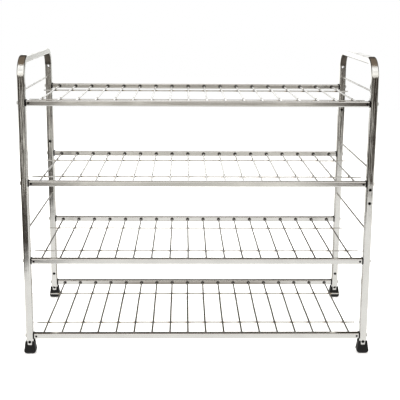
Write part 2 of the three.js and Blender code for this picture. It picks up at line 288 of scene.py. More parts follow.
def polished_stainless():
    """Stainless steel, belt-polished to a near mirror: soft waves and fine lines along the tube show."""
    steel, tree, place = bare_material("mirror-polished stainless steel")

    # Polishing streaks run up the legs and along the top bar. Real lines are 0.05 mm wide, too fine
    # to show, so these are 3 mm wide and 60 mm long.
    axes = put(tree, "ShaderNodeSeparateXYZ", {"Vector": place})
    height = axes.outputs["Z"]
    on_top = put(tree, "ShaderNodeMapRange", {
        "Value": height, "From Min": TUBE_TOP - BEND_RADIUS, "From Max": TUBE_TOP,
    })
    up_legs = put(tree, "ShaderNodeMapping", {"Vector": place, "Scale": (330, 330, 16)})
    along_top = put(tree, "ShaderNodeMapping", {"Vector": place, "Scale": (330, 16, 330)})
    leg_lines = put(tree, "ShaderNodeTexNoise", {"Vector": up_legs, "Scale": 1.0, "Detail": 1.0})
    top_lines = put(tree, "ShaderNodeTexNoise", {"Vector": along_top, "Scale": 1.0, "Detail": 1.0})
    lines = put(tree, "ShaderNodeMix", {
        "Factor": on_top, 2: leg_lines.outputs["Fac"], 3: top_lines.outputs["Fac"],
    })

    # The inside of the bends is made rougher and painted dark, a painted reflection of the shade the bends
    # face
    along = put(tree, "ShaderNodeMath", {0: axes.outputs["Y"]}, operation="ABSOLUTE")
    past_middle = put(tree, "ShaderNodeCombineXYZ", {
        "X": put(tree, "ShaderNodeMath", {0: along, 1: LEG_Y - BEND_RADIUS}, operation="SUBTRACT"),
        "Y": put(tree, "ShaderNodeMath", {0: height, 1: TUBE_TOP - BEND_RADIUS}, operation="SUBTRACT"),
    })
    in_bend = put(tree, "ShaderNodeVectorMath", {0: past_middle, 1: (0, 0, 0)}, operation="MAXIMUM")
    from_centre = put(tree, "ShaderNodeVectorMath", {0: in_bend}, operation="LENGTH")
    inner_face = BEND_RADIUS - TUBE / 2
    inside = put(tree, "ShaderNodeMapRange", {
        "Value": from_centre.outputs["Value"], "From Min": inner_face + 1 * MM,
        "From Max": inner_face + 3 * MM, "To Min": 1.0, "To Max": 0.0,
    })
    turning = put(tree, "ShaderNodeSeparateXYZ", {"Vector": in_bend})
    both_ways = put(tree, "ShaderNodeMath", {
        0: turning.outputs["X"], 1: turning.outputs["Y"],
    }, operation="MINIMUM")
    on_bend = put(tree, "ShaderNodeMapRange", {"Value": both_ways, "From Min": 0.0, "From Max": 3 * MM})
    bend_dulled_and_painted_dark = put(tree, "ShaderNodeMath", {0: inside, 1: on_bend}, operation="MULTIPLY")

    # Hand marks and thin polish, 40 mm across, and the wheel's waves, 18 mm long
    smudge = put(tree, "ShaderNodeTexNoise", {"Vector": place, "Scale": 1 / (40 * MM), "Detail": 4.0})
    wave = put(tree, "ShaderNodeTexNoise", {"Vector": place, "Scale": 1 / (18 * MM), "Detail": 2.0})
    roughness = put(tree, "ShaderNodeMapRange", {
        "Value": smudge.outputs["Fac"], "From Min": 0.35, "From Max": 0.7,
        "To Min": 0.07, "To Max": 0.17,
    })
    rough_lines = put(tree, "ShaderNodeMath", {
        0: lines, 1: 0.06, 2: roughness,
    }, operation="MULTIPLY_ADD")
    rough_bends = put(tree, "ShaderNodeMath", {
        0: bend_dulled_and_painted_dark, 1: 0.3, 2: rough_lines,
    }, operation="MULTIPLY_ADD")
    polished = put(tree, "ShaderNodeMix", {
        0: smudge.outputs["Fac"], 6: linear("#dfdfdc"), 7: linear("#d2d1cd"),
    }, data_type="RGBA")
    # painted shade: the inside of the bends is darkened, standing in for a dark reflection
    colour = put(tree, "ShaderNodeMix", {
        0: bend_dulled_and_painted_dark, 6: polished.outputs[2], 7: linear("#5d5750"),
    }, data_type="RGBA")
    waves = put(tree, "ShaderNodeBump", {
        "Height": wave.outputs["Fac"], "Strength": 1.0, "Distance": 0.14 * MM,
    })
    bump = put(tree, "ShaderNodeBump", {
        "Height": lines, "Strength": 1.0, "Distance": 0.25 * MM, "Normal": waves,
    })
    surface = put(tree, "ShaderNodeBsdfPrincipled", {
        "Base Color": colour.outputs[2], "Metallic": 1.0, "Roughness": rough_bends, "Normal": bump,
    })
    put(tree, "ShaderNodeOutputMaterial", {"Surface": surface})
    return steel


drilled_tube = drilled_tube_tree()
tube_steel = polished_stainless()
for side, sign in SIDES.items():
    line = [(0, -LEG_Y, LEG_FOOT), (0, -LEG_Y, TUBE_TOP), (0, LEG_Y, TUBE_TOP), (0, LEG_Y, LEG_FOOT)]
    start = tube_start(f"tube_line_{side}", line, frame_holes(side))
    tube = grown(f"tube_{side}", start, drilled_tube, {
        "Width": TUBE, "Height": TUBE, "Corner": TUBE_CORNER, "Wall": TUBE_WALL,
        "Bend radius": BEND_RADIUS, "Bend steps": BEND_STEPS, "Finish": tube_steel,
    })
    bent_tube = set_down(f"bent_tube_{side}", tube, Matrix.Translation((sign * LEG_X, 0, 0)))
    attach(bent_tube, "root")
    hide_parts(f"end_frame_{side}")

# ------------------------------------------------------------------------------------------------
# Side rods. Straight lengths of drawn 4 mm wire at the ends of the rack, three at the right and two at
# the left, pushed into holes in the legs while the frame is sprung open. They stop shoes sliding out.
# ------------------------------------------------------------------------------------------------
ROD_CHAMFER = 0.4 * MM
ROD_SIDES = 20


def ring(radius, count, height=0.0):
    """Points round a circle, at one height."""
    turns = [2 * math.pi * i / count for i in range(count)]
    return [Vector((radius * math.cos(turn), radius * math.sin(turn), height)) for turn in turns]


def skinned(name, rings, material, ends=True, crease=35):
    """A closed skin through rings of equally many points. ends caps the first and the last ring;
    otherwise the last ring joins the first."""
    mesh = bpy.data.meshes.new(name)
    shape = bmesh.new()
    rows = [[shape.verts.new(point) for point in points] for points in rings]
    pairs = list(zip(rows, rows[1:])) if ends else list(zip(rows, rows[1:] + rows[:1]))
    for lower, upper in pairs:
        for i in range(len(lower)):
            after = (i + 1) % len(lower)
            shape.faces.new((lower[i], lower[after], upper[after], upper[i]))
    if ends:
        shape.faces.new(list(reversed(rows[0])))
        shape.faces.new(rows[-1])
    bmesh.ops.recalc_face_normals(shape, faces=shape.faces)
    for face in shape.faces:
        face.smooth = True
    shape.to_mesh(mesh)
    shape.free()
    mesh.set_sharp_from_angle(angle=math.radians(crease))
    mesh.materials.append(material)
    return mesh


def drawn_stainless():
    """Stainless wire pulled through dies: bright, with fine die lines and dull patches along it."""
    steel, tree, place = bare_material("drawn stainless wire")

    # Die lines: 0.6 mm across and 30 mm long, coarser than real ones so that they show
    die = put(tree, "ShaderNodeMapping", {"Vector": place, "Scale": (1600, 35, 1600)})
    lines = put(tree, "ShaderNodeTexNoise", {"Vector": die, "Scale": 1.0, "Detail": 2.0})
    patch = put(tree, "ShaderNodeTexNoise", {"Vector": place, "Scale": 1 / (14 * MM), "Detail": 3.0})
    roughness = put(tree, "ShaderNodeMapRange", {
        "Value": patch.outputs["Fac"], "From Min": 0.35, "From Max": 0.65, "To Min": 0.07, "To Max": 0.2,
    })
    colour = put(tree, "ShaderNodeMix", {
        0: patch.outputs["Fac"], 6: linear("#d9d8d5"), 7: linear("#b4b2ad"),
    }, data_type="RGBA")
    bump = put(tree, "ShaderNodeBump", {
        "Height": lines.outputs["Fac"], "Strength": 0.6, "Distance": 0.02 * MM,
    })
    surface = put(tree, "ShaderNodeBsdfPrincipled", {
        "Base Color": colour.outputs[2], "Metallic": 1.0, "Roughness": roughness, "Normal": bump,
    })
    put(tree, "ShaderNodeOutputMaterial", {"Surface": surface})
    return steel


wire_steel = drawn_stainless()
rod_low, rod_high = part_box("side_rod_right_low")
ROD_RADIUS = (rod_high.z - rod_low.z) / 2
ROD_HALF = rod_high.y
rod_mesh = skinned("rod", [
    ring(ROD_RADIUS - ROD_CHAMFER, ROD_SIDES, -ROD_HALF),
    ring(ROD_RADIUS, ROD_SIDES, ROD_CHAMFER - ROD_HALF),
    ring(ROD_RADIUS, ROD_SIDES, ROD_HALF - ROD_CHAMFER),
    ring(ROD_RADIUS - ROD_CHAMFER, ROD_SIDES, ROD_HALF),
], wire_steel)
lying = Matrix.Rotation(math.radians(90), 4, "X")
for level, height in ROD_HEIGHTS.items():
    for side in ROD_LEVELS[level]:
        place = Matrix.Translation((SIDES[side] * LEG_X, 0, height)) @ lying
        side_rod = set_down(f"stop_rod_{side}_{level}", rod_mesh, place)
        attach(side_rod, "root")
        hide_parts(f"side_rod_{side}_{level}")

# ------------------------------------------------------------------------------------------------
# Foot caps. Soft black plastic boots, moulded in one piece and pushed over the legs' lower ends.
# The rim is notched at the front and back, so that the hole in the leg stays clear.
# ------------------------------------------------------------------------------------------------
CAP_CORNER = 0.42  # corner radius over half width
CAP_PROFILE = [(0, 8.6), (0.4, 9.4), (1.6, 11.0), (3.2, 12.3), (5.0, 13.1), (6.5, 13.2), (8, 13.15)]
CAP_UPPER = [(8, 13.15), (11, 12.75), (14, 12.25), (18, 11.6), (22, 11.1), (25, 10.75), (28, 10.5)]
CAP_SKIRT = 8  # where the wall over the foot starts
CAP_TOP = 28.0
CAP_RIM_HALF = 11.0
CAP_SOCKET = 8.3  # half width, a snug fit round the leg
NOTCH_HALF = 6.5
NOTCH_FLOOR = 19.0
NOTCH_CORNER = 3.0
NOTCH_EDGE = 0.15
SCALLOP_RADIUS = 8.0
SCALLOP_DEPTH = 2.5
RIM = 0.6  # the rim's edges are rounded, by (share inward, share up)
RIM_ROUNDING = [(0.3, 0.82), (0.7, 0.95), (1.0, 1.0)]
RECESS_HALF = 6.2
RECESS_DEPTH = 0.7
RECESS_SLOPE = 0.5
FLOOR_GAP = 0.3  # from the boot's floor to the leg's end
WALL_STEPS = [0.15, 0.3, 0.45, 0.6, 0.75, 0.9, 1.0]  # up the wall, as shares
FLAT_STEPS = 22  # along each side of the boot
CORNER_STEPS = 8


def between(points, height):
    """The half width at a height, on the line through (height, half width) points."""
    for (z0, h0), (z1, h1) in zip(points, points[1:]):
        if height <= z1:
            return h0 + (h1 - h0) * max(0.0, (height - z0) / (z1 - z0))
    return points[-1][1]


def boot_column(step):
    """Where one column of the boot stands on a square of half width 1 with rounded corners."""
    per_side = FLAT_STEPS + CORNER_STEPS
    side, along = divmod(step, per_side)
    reach = 1 - CAP_CORNER
    if along <= FLAT_STEPS:
        share = 2 * along / FLAT_STEPS - 1
        point = Vector((reach * share, -1))
    else:
        turn = (along - FLAT_STEPS) / CORNER_STEPS * math.pi / 2
        point = Vector((reach + CAP_CORNER * math.sin(turn), -reach - CAP_CORNER * math.cos(turn)))
    point.rotate(Matrix.Rotation(side * math.pi / 2, 2))
    return point, side


def rim_height(point, side):
    """How high the boot's wall goes at one column, in millimetres: ears, notches and scallops."""
    across = abs(point.x if side % 2 == 0 else point.y) * CAP_RIM_HALF
    at_corner = min(abs(point.x), abs(point.y)) > 1 - CAP_CORNER + 1e-6
    if at_corner:
        return CAP_TOP
    if side % 2 == 1:
        drop = SCALLOP_RADIUS ** 2 - across ** 2
        dip = CAP_TOP - SCALLOP_DEPTH + SCALLOP_RADIUS - math.sqrt(drop) if drop > 0 else CAP_TOP
        return min(CAP_TOP, dip)
    if across <= NOTCH_HALF - NOTCH_CORNER:
        return NOTCH_FLOOR
    if across < NOTCH_HALF - NOTCH_EDGE:
        inside = across - (NOTCH_HALF - NOTCH_CORNER)
        return NOTCH_FLOOR + NOTCH_CORNER - math.sqrt(NOTCH_CORNER ** 2 - inside ** 2)
    return CAP_TOP


def boot(name, material):
    """The foot cap, its foot at the origin."""
    columns = [boot_column(step) for step in range(4 * (FLAT_STEPS + CORNER_STEPS))]
    rims = [rim_height(point, side) for point, side in columns]

    def level(half, height):
        return [Vector((point.x * half, point.y * half, height)) * MM for point, _ in columns]

    def up_to_rim(size_at):
        """A row whose half width and height follow the rim, both given by size_at."""
        row = []
        for (point, _), rim in zip(columns, rims):
            half, height = size_at(rim)
            row.append(Vector((point.x * half, point.y * half, height)) * MM)
        return row

    def outer_wall(rim, share):
        height = CAP_SKIRT + (rim - RIM - CAP_SKIRT) * share
        return between(CAP_UPPER, height), height

    def outer_edge(rim, inward, up):
        return between(CAP_UPPER, rim - RIM) - inward * RIM, rim - RIM * (1 - up)

    def inner_edge(rim, inward, up):
        return CAP_SOCKET + inward * RIM, rim - RIM * (1 - up)

    rows = [level(RECESS_HALF - RECESS_SLOPE, RECESS_DEPTH), level(RECESS_HALF, 0)]
    rows += [level(half, height) for height, half in CAP_PROFILE]
    for share in WALL_STEPS:
        rows.append(up_to_rim(lambda rim: outer_wall(rim, share)))
    for inward, up in RIM_ROUNDING:
        rows.append(up_to_rim(lambda rim: outer_edge(rim, inward, up)))
    for inward, up in reversed(RIM_ROUNDING):
        rows.append(up_to_rim(lambda rim: inner_edge(rim, inward, up)))
    rows.append(up_to_rim(lambda rim: (CAP_SOCKET, rim - RIM)))
    rows.append(level(CAP_SOCKET, LEG_FOOT / MM - FLOOR_GAP))
    return skinned(name, rows, material, crease=50)


def moulded_plastic():
    """Black polypropylene with a fine spark-eroded texture, scuffed grey where it meets the floor."""
    plastic, tree, place = bare_material("black moulded polypropylene")
    grain = put(tree, "ShaderNodeTexNoise", {"Vector": place, "Scale": 1 / (0.9 * MM), "Detail": 3.0})
    cloud = put(tree, "ShaderNodeTexNoise", {"Vector": place, "Scale": 1 / (9 * MM), "Detail": 3.0})
    height = put(tree, "ShaderNodeSeparateXYZ", {"Vector": place}).outputs["Z"]
    low_down = put(tree, "ShaderNodeMapRange", {
        "Value": height, "From Min": 0.2 * MM, "From Max": 4 * MM, "To Min": 1.0, "To Max": 0.0,
    })
    scuff = put(tree, "ShaderNodeMath", {0: low_down, 1: cloud.outputs["Fac"]}, operation="MULTIPLY")
    body = put(tree, "ShaderNodeMix", {
        0: cloud.outputs["Fac"], 6: linear("#060606"), 7: linear("#0d0c0c"),
    }, data_type="RGBA")
    colour = put(tree, "ShaderNodeMix", {
        0: scuff, 6: body.outputs[2], 7: linear("#6b6966"),
    }, data_type="RGBA")
    roughness = put(tree, "ShaderNodeMapRange", {
        "Value": cloud.outputs["Fac"], "From Min": 0.3, "From Max": 0.7, "To Min": 0.42, "To Max": 0.6,
    })
    bump = put(tree, "ShaderNodeBump", {
        "Height": grain.outputs["Fac"], "Strength": 0.7, "Distance": 0.12 * MM,
    })
    surface = put(tree, "ShaderNodeBsdfPrincipled", {
        "Base Color": colour.outputs[2], "Roughness": roughness, "IOR": 1.49,
        "Specular IOR Level": 0.25, "Normal": bump,
    })
    put(tree, "ShaderNodeOutputMaterial", {"Surface": surface})
    return plastic


black_plastic = moulded_plastic()
boot_mesh = boot("boot", black_plastic)
for side, sign in SIDES.items():
    for end, way in ENDS.items():
        stand = Matrix.Translation((sign * LEG_X, way * LEG_Y, 0))
        foot_boot = set_down(f"boot_{end}_{side}", boot_mesh, stand)
        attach(foot_boot, "root")
        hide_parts(f"foot_cap_{end}_{side}")

# ------------------------------------------------------------------------------------------------
# Rails. Rectangular stainless tube, rolled with rounded corners and buffed along its length. The
# wall towards the shelf is punched for the cross wires, the outer one for the plugs' snap buttons.
# ------------------------------------------------------------------------------------------------
rail_low, rail_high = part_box("tier_1_rail_front")
RAIL_HEIGHT = rail_high.z - rail_low.z
RAIL_DEPTH = rail_high.y - rail_low.y
RAIL_HALF = rail_high.x
RAIL_CORNER = 2.5 * MM
RAIL_WALL = 1.0 * MM
WIRE_COUNT = 18
WIRE_BORE = 2.6 * MM
INNER_X = LEG_X - TUBE / 2
WIRE_PITCH = 2 * INNER_X / WIRE_COUNT
BUTTON_BORE = 2.5 * MM
BUTTON_INSET = 6.5 * MM  # from the leg's inner face


def rail_holes():
    """The holes of a front rail, its middle at the origin."""
    holes = []
    for wire in range(WIRE_COUNT):
        x = (wire + 0.5) * WIRE_PITCH - INNER_X
        holes.append(hole((x, RAIL_DEPTH / 2, 0), WIRE_BORE, WALL_CUT))
    for sign in SIDES.values():
        x = sign * (INNER_X - BUTTON_INSET)
        holes.append(hole((x, -RAIL_DEPTH / 2, 0), BUTTON_BORE, WALL_CUT))
    return holes


def from_nearest(tree, value, first, pitch):
    """How far a coordinate is from the nearest of a row of places, one pitch apart."""
    pitches = put(tree, "ShaderNodeMath", {
        0: value, 1: 1 / pitch, 2: 0.5 - first / pitch,
    }, operation="MULTIPLY_ADD")
    within = put(tree, "ShaderNodeMath", {0: pitches}, operation="FRACT")
    off = put(tree, "ShaderNodeMath", {0: within, 1: 0.5}, operation="SUBTRACT")
    far = put(tree, "ShaderNodeMath", {0: off}, operation="ABSOLUTE")
    return put(tree, "ShaderNodeMath", {0: far, 1: pitch}, operation="MULTIPLY")


def buffed_stainless():
    """Stainless steel buffed along the rail: reflections blur into streaks over thin rolled waves.
    A painted dark ring round each wire hole stands for the hole's shadow and the wire's reflection."""
    steel, tree, place = bare_material("buffed stainless steel")

    # Buffing lines 1 mm high and 60 mm long; the real 0.05 mm ones are too fine to show
    buff = put(tree, "ShaderNodeMapping", {"Vector": place, "Scale": (16, 1000, 1000)})
    lines = put(tree, "ShaderNodeTexNoise", {"Vector": buff, "Scale": 1.0, "Detail": 3.0})
    roll = put(tree, "ShaderNodeMapping", {"Vector": place, "Scale": (14, 90, 90)})
    wave = put(tree, "ShaderNodeTexNoise", {"Vector": roll, "Scale": 1.0, "Detail": 2.0})
    smudge = put(tree, "ShaderNodeTexNoise", {"Vector": place, "Scale": 1 / (50 * MM), "Detail": 4.0})
    roughness = put(tree, "ShaderNodeMapRange", {
        "Value": smudge.outputs["Fac"], "From Min": 0.35, "From Max": 0.7,
        "To Min": 0.07, "To Max": 0.14,
    })
    rough_lines = put(tree, "ShaderNodeMath", {
        0: lines, 1: 0.08, 2: roughness,
    }, operation="MULTIPLY_ADD")
    plain_steel = put(tree, "ShaderNodeMix", {
        0: smudge.outputs["Fac"], 6: linear("#dddcd9"), 7: linear("#cfcecb"),
    }, data_type="RGBA")

    axes = put(tree, "ShaderNodeSeparateXYZ", {"Vector": place})
    from_hole = put(tree, "ShaderNodeCombineXYZ", {
        "X": from_nearest(tree, axes.outputs["X"], WIRE_PITCH / 2, WIRE_PITCH),
        "Y": from_nearest(tree, axes.outputs["Z"], TIER_HEIGHTS[1], TIER_HEIGHTS[2] - TIER_HEIGHTS[1]),
    })
    hole_radius = put(tree, "ShaderNodeVectorMath", {0: from_hole}, operation="LENGTH")
    ring_edge = put(tree, "ShaderNodeMapRange", {
        "Value": hole_radius.outputs["Value"], "From Min": 3.2 * MM, "From Max": 5.2 * MM,
        "To Min": 1.0, "To Max": 0.0,
    })
    out_from_middle = put(tree, "ShaderNodeMath", {0: axes.outputs["Y"]}, operation="ABSOLUTE")
    inner_wall = put(tree, "ShaderNodeMath", {0: out_from_middle, 1: LEG_Y}, operation="LESS_THAN")
    # painted shade: a dark ring round each wire hole on the inner wall, for the hole's shadow and the
    # wire's reflection
    painted_hole_shade = put(tree, "ShaderNodeMath", {0: ring_edge, 1: inner_wall}, operation="MULTIPLY")
    colour = put(tree, "ShaderNodeMix", {
        0: painted_hole_shade, 6: plain_steel.outputs[2], 7: linear("#2f2c29"),
    }, data_type="RGBA")
    waves = put(tree, "ShaderNodeBump", {
        "Height": wave.outputs["Fac"], "Strength": 1.0, "Distance": 0.12 * MM,
    })
    bump = put(tree, "ShaderNodeBump", {
        "Height": lines, "Strength": 0.6, "Distance": 0.01 * MM, "Normal": waves,
    })
    surface = put(tree, "ShaderNodeBsdfPrincipled", {
        "Base Color": colour.outputs[2], "Metallic": 1.0, "Roughness": rough_lines, "Normal": bump,
    })
    put(tree, "ShaderNodeOutputMaterial", {"Surface": surface})
    return steel


rail_steel = buffed_stainless()
rail_start = tube_start("rail_line", [(-RAIL_HALF, 0, 0), (RAIL_HALF, 0, 0)], rail_holes())
rail_mesh = grown("rail", rail_start, drilled_tube, {
    "Width": RAIL_DEPTH, "Height": RAIL_HEIGHT, "Corner": RAIL_CORNER, "Wall": RAIL_WALL,
    "Bend radius": 0.0, "Bend steps": 1, "Finish": rail_steel,
})
for tier, height in TIER_HEIGHTS.items():
    for end, way in ENDS.items():
        facing = Matrix.Rotation(math.pi if way > 0 else 0, 4, "Z")
        place = Matrix.Translation((0, way * LEG_Y, height)) @ facing
        rail = set_down(f"punched_rail_{tier}_{end}", rail_mesh, place)
        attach(rail, "root")
        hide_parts(f"tier_{tier}_rail_{end}")

# ------------------------------------------------------------------------------------------------
# Wire grids. Eighteen 4 mm cross wires, spot-welded on top of two thinner long wires. The ends of
# the cross wires go into the rails; the long wires are cut off short of the legs.
# ------------------------------------------------------------------------------------------------
grid_low, grid_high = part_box("tier_1_wire_grid")
CROSS_LENGTH = grid_high.y - grid_low.y
LONG_LENGTH = grid_high.x - grid_low.x
CROSS_WIRE = 4.0 * MM
LONG_WIRE = 3.2 * MM
LONG_OFFSET = 98 * MM
WELD_SINK = 0.6 * MM
KINK = 2.4 * MM  # sideways, of a cross wire between its ends
SAG = 3 * MM  # sideways, of a long wire
CROSS_STEPS, LONG_STEPS = 41, 75  # points along the wires
CROSS_SIDES, LONG_SIDES = 14, 12
WELD_SMALLEST = (2.1 * MM, 2.0 * MM, 0.8 * MM)
WELD_LARGEST = (2.8 * MM, 2.6 * MM, 1.2 * MM)
WELD_SIDES, WELD_RINGS = 10, 6
WELD_SEED = 3
SEED_STEP = 7.3  # between one tier's bends and the next's


def wire_grid_tree():
    """Cross wires over two long wires, with a weld at each crossing. A seed sets how they are bent."""
    tree, size, out = shaped_tree("wire_grid", {
        "Wires": "Int", "Pitch": "Float", "Cross radius": "Float", "Cross length": "Float",
        "Long radius": "Float", "Long length": "Float", "Long offset": "Float", "Sink": "Float",
        "Kink": "Float", "Seed": "Float", "Finish": "Material",
    })
    sizes = size.outputs

    # How far each point of a wire lies from where it should: nothing at its ends in the rails
    position = put(tree, "GeometryNodeInputPosition")
    spread = put(tree, "ShaderNodeVectorMath", {0: position, 1: (90, 5, 0)}, operation="MULTIPLY")
    shift = put(tree, "ShaderNodeCombineXYZ", {"Z": sizes["Seed"]})
    sample = put(tree, "ShaderNodeVectorMath", {0: spread, 1: shift}, operation="ADD")
    bends = put(tree, "ShaderNodeTexNoise", {"Vector": sample, "Scale": 1.0, "Detail": 1.0})
    off_middle = put(tree, "ShaderNodeVectorMath", {
        0: bends.outputs["Color"], 1: (0.5, 0.5, 0.5),
    }, operation="SUBTRACT")
    y = put(tree, "ShaderNodeSeparateXYZ", {"Vector": position}).outputs["Y"]
    from_middle = put(tree, "ShaderNodeMath", {0: y}, operation="ABSOLUTE")
    half_length = put(tree, "ShaderNodeMath", {0: sizes["Cross length"], 1: 0.5}, operation="MULTIPLY")
    free = put(tree, "ShaderNodeMapRange", {
        "Value": from_middle, "From Min": half_length, "From Max": sizes["Long offset"],
    }, interpolation_type="SMOOTHSTEP")
    amount = put(tree, "ShaderNodeMath", {0: free, 1: sizes["Kink"]}, operation="MULTIPLY")
    weights = put(tree, "ShaderNodeCombineXYZ", {"X": amount})
    offset = put(tree, "ShaderNodeVectorMath", {0: off_middle, 1: weights}, operation="MULTIPLY")

    # Cross wires
    half_back = put(tree, "ShaderNodeMath", {0: half_length, 1: -1.0}, operation="MULTIPLY")
    cross_start = put(tree, "ShaderNodeCombineXYZ", {"Y": half_back})
    cross_end = put(tree, "ShaderNodeCombineXYZ", {"Y": half_length})
    cross_line = put(tree, "GeometryNodeCurvePrimitiveLine", {"Start": cross_start, "End": cross_end})
    cross_points = put(tree, "GeometryNodeResampleCurve", {"Curve": cross_line, "Count": CROSS_STEPS})
    gaps = put(tree, "ShaderNodeMath", {0: sizes["Wires"], 1: 1.0}, operation="SUBTRACT")
    width = put(tree, "ShaderNodeMath", {0: gaps, 1: sizes["Pitch"]}, operation="MULTIPLY")
    first = put(tree, "ShaderNodeMath", {0: width, 1: -0.5}, operation="MULTIPLY")
    first_at = put(tree, "ShaderNodeCombineXYZ", {"X": first})
    step = put(tree, "ShaderNodeCombineXYZ", {"X": sizes["Pitch"]})
    row = put(tree, "GeometryNodeMeshLine", {
        "Count": sizes["Wires"], "Start Location": first_at, "Offset": step,
    })
    cross = put(tree, "GeometryNodeInstanceOnPoints", {"Points": row, "Instance": cross_points})
    cross_real = put(tree, "GeometryNodeRealizeInstances", {"Geometry": cross})
    cross_bent = put(tree, "GeometryNodeSetPosition", {"Geometry": cross_real, "Offset": offset})
    cross_section = put(tree, "GeometryNodeCurvePrimitiveCircle", {
        "Resolution": CROSS_SIDES, "Radius": sizes["Cross radius"],
    })
    cross_wires = put(tree, "GeometryNodeCurveToMesh", {
        "Curve": cross_bent, "Profile Curve": cross_section, "Fill Caps": True,
    })

    # Long wires, their tops sunk a little into the cross wires
    radii = put(tree, "ShaderNodeMath", {
        0: sizes["Cross radius"], 1: sizes["Long radius"],
    }, operation="ADD")
    drop = put(tree, "ShaderNodeMath", {0: sizes["Sink"], 1: radii}, operation="SUBTRACT")
    long_half = put(tree, "ShaderNodeMath", {0: sizes["Long length"], 1: 0.5}, operation="MULTIPLY")
    long_back = put(tree, "ShaderNodeMath", {0: long_half, 1: -1.0}, operation="MULTIPLY")
    long_start = put(tree, "ShaderNodeCombineXYZ", {"X": long_back})
    long_end = put(tree, "ShaderNodeCombineXYZ", {"X": long_half})
    long_line = put(tree, "GeometryNodeCurvePrimitiveLine", {"Start": long_start, "End": long_end})
    long_points = put(tree, "GeometryNodeResampleCurve", {"Curve": long_line, "Count": LONG_STEPS})
    front = put(tree, "ShaderNodeMath", {0: sizes["Long offset"], 1: -1.0}, operation="MULTIPLY")
    both = put(tree, "ShaderNodeMath", {0: sizes["Long offset"], 1: 2.0}, operation="MULTIPLY")
    front_at = put(tree, "ShaderNodeCombineXYZ", {"Y": front, "Z": drop})
    back_step = put(tree, "ShaderNodeCombineXYZ", {"Y": both})
    pair = put(tree, "GeometryNodeMeshLine", {
        "Count": 2, "Start Location": front_at, "Offset": back_step,
    })
    long_pair = put(tree, "GeometryNodeInstanceOnPoints", {"Points": pair, "Instance": long_points})
    long_real = put(tree, "GeometryNodeRealizeInstances", {"Geometry": long_pair})
    sag = put(tree, "ShaderNodeTexNoise", {"Vector": sample, "Scale": 0.12, "Detail": 1.0})
    sag_middle = put(tree, "ShaderNodeVectorMath", {
        0: sag.outputs["Color"], 1: (0.5, 0.5, 0.5),
    }, operation="SUBTRACT")
    sag_size = put(tree, "ShaderNodeVectorMath", {0: sag_middle, 1: (0, SAG, 0)}, operation="MULTIPLY")
    long_bent = put(tree, "GeometryNodeSetPosition", {"Geometry": long_real, "Offset": sag_size})
    long_section = put(tree, "GeometryNodeCurvePrimitiveCircle", {
        "Resolution": LONG_SIDES, "Radius": sizes["Long radius"],
    })
    long_wires = put(tree, "GeometryNodeCurveToMesh", {
        "Curve": long_bent, "Profile Curve": long_section, "Fill Caps": True,
    })

    # Welds: a flattened bead squeezed out at each crossing
    weld_drop = put(tree, "ShaderNodeMath", {
        0: sizes["Sink"], 1: sizes["Cross radius"],
    }, operation="SUBTRACT")
    front_row_at = put(tree, "ShaderNodeCombineXYZ", {"Y": front})
    front_row = put(tree, "GeometryNodeTransform", {"Geometry": row, "Translation": front_row_at})
    back_row_at = put(tree, "ShaderNodeCombineXYZ", {"Y": sizes["Long offset"]})
    back_row = put(tree, "GeometryNodeTransform", {"Geometry": row, "Translation": back_row_at})
    crossings = put(tree, "GeometryNodeJoinGeometry", {"Geometry": [front_row, back_row]})
    moved = put(tree, "GeometryNodeSetPosition", {"Geometry": crossings, "Offset": offset})
    lowered_by = put(tree, "ShaderNodeCombineXYZ", {"Z": weld_drop})
    lowered = put(tree, "GeometryNodeSetPosition", {"Geometry": moved, "Offset": lowered_by})
    bead = put(tree, "GeometryNodeMeshUVSphere", {
        "Segments": WELD_SIDES, "Rings": WELD_RINGS, "Radius": 1.0,
    })
    bead_size = put(tree, "FunctionNodeRandomValue", {
        0: WELD_SMALLEST, 1: WELD_LARGEST, "Seed": WELD_SEED,
    }, data_type="FLOAT_VECTOR")
    beads = put(tree, "GeometryNodeInstanceOnPoints", {
        "Points": lowered, "Instance": bead, "Scale": bead_size,
    })

    joined = put(tree, "GeometryNodeJoinGeometry", {"Geometry": [cross_wires, long_wires, beads]})
    real = put(tree, "GeometryNodeRealizeInstances", {"Geometry": joined})
    smooth = put(tree, "GeometryNodeSetShadeSmooth", {"Geometry": real})
    angle = put(tree, "GeometryNodeInputMeshEdgeAngle")
    crease = put(tree, "FunctionNodeCompare", {
        "A": angle, "B": math.radians(50),
    }, operation="GREATER_THAN")
    creased = put(tree, "GeometryNodeSetShadeSmooth", {
        "Geometry": smooth, "Selection": crease, "Shade Smooth": False,
    }, domain="EDGE")
    coated = put(tree, "GeometryNodeSetMaterial", {"Geometry": creased, "Material": sizes["Finish"]})
    tree.links.new(coated.outputs[0], out.inputs[0])
    return tree


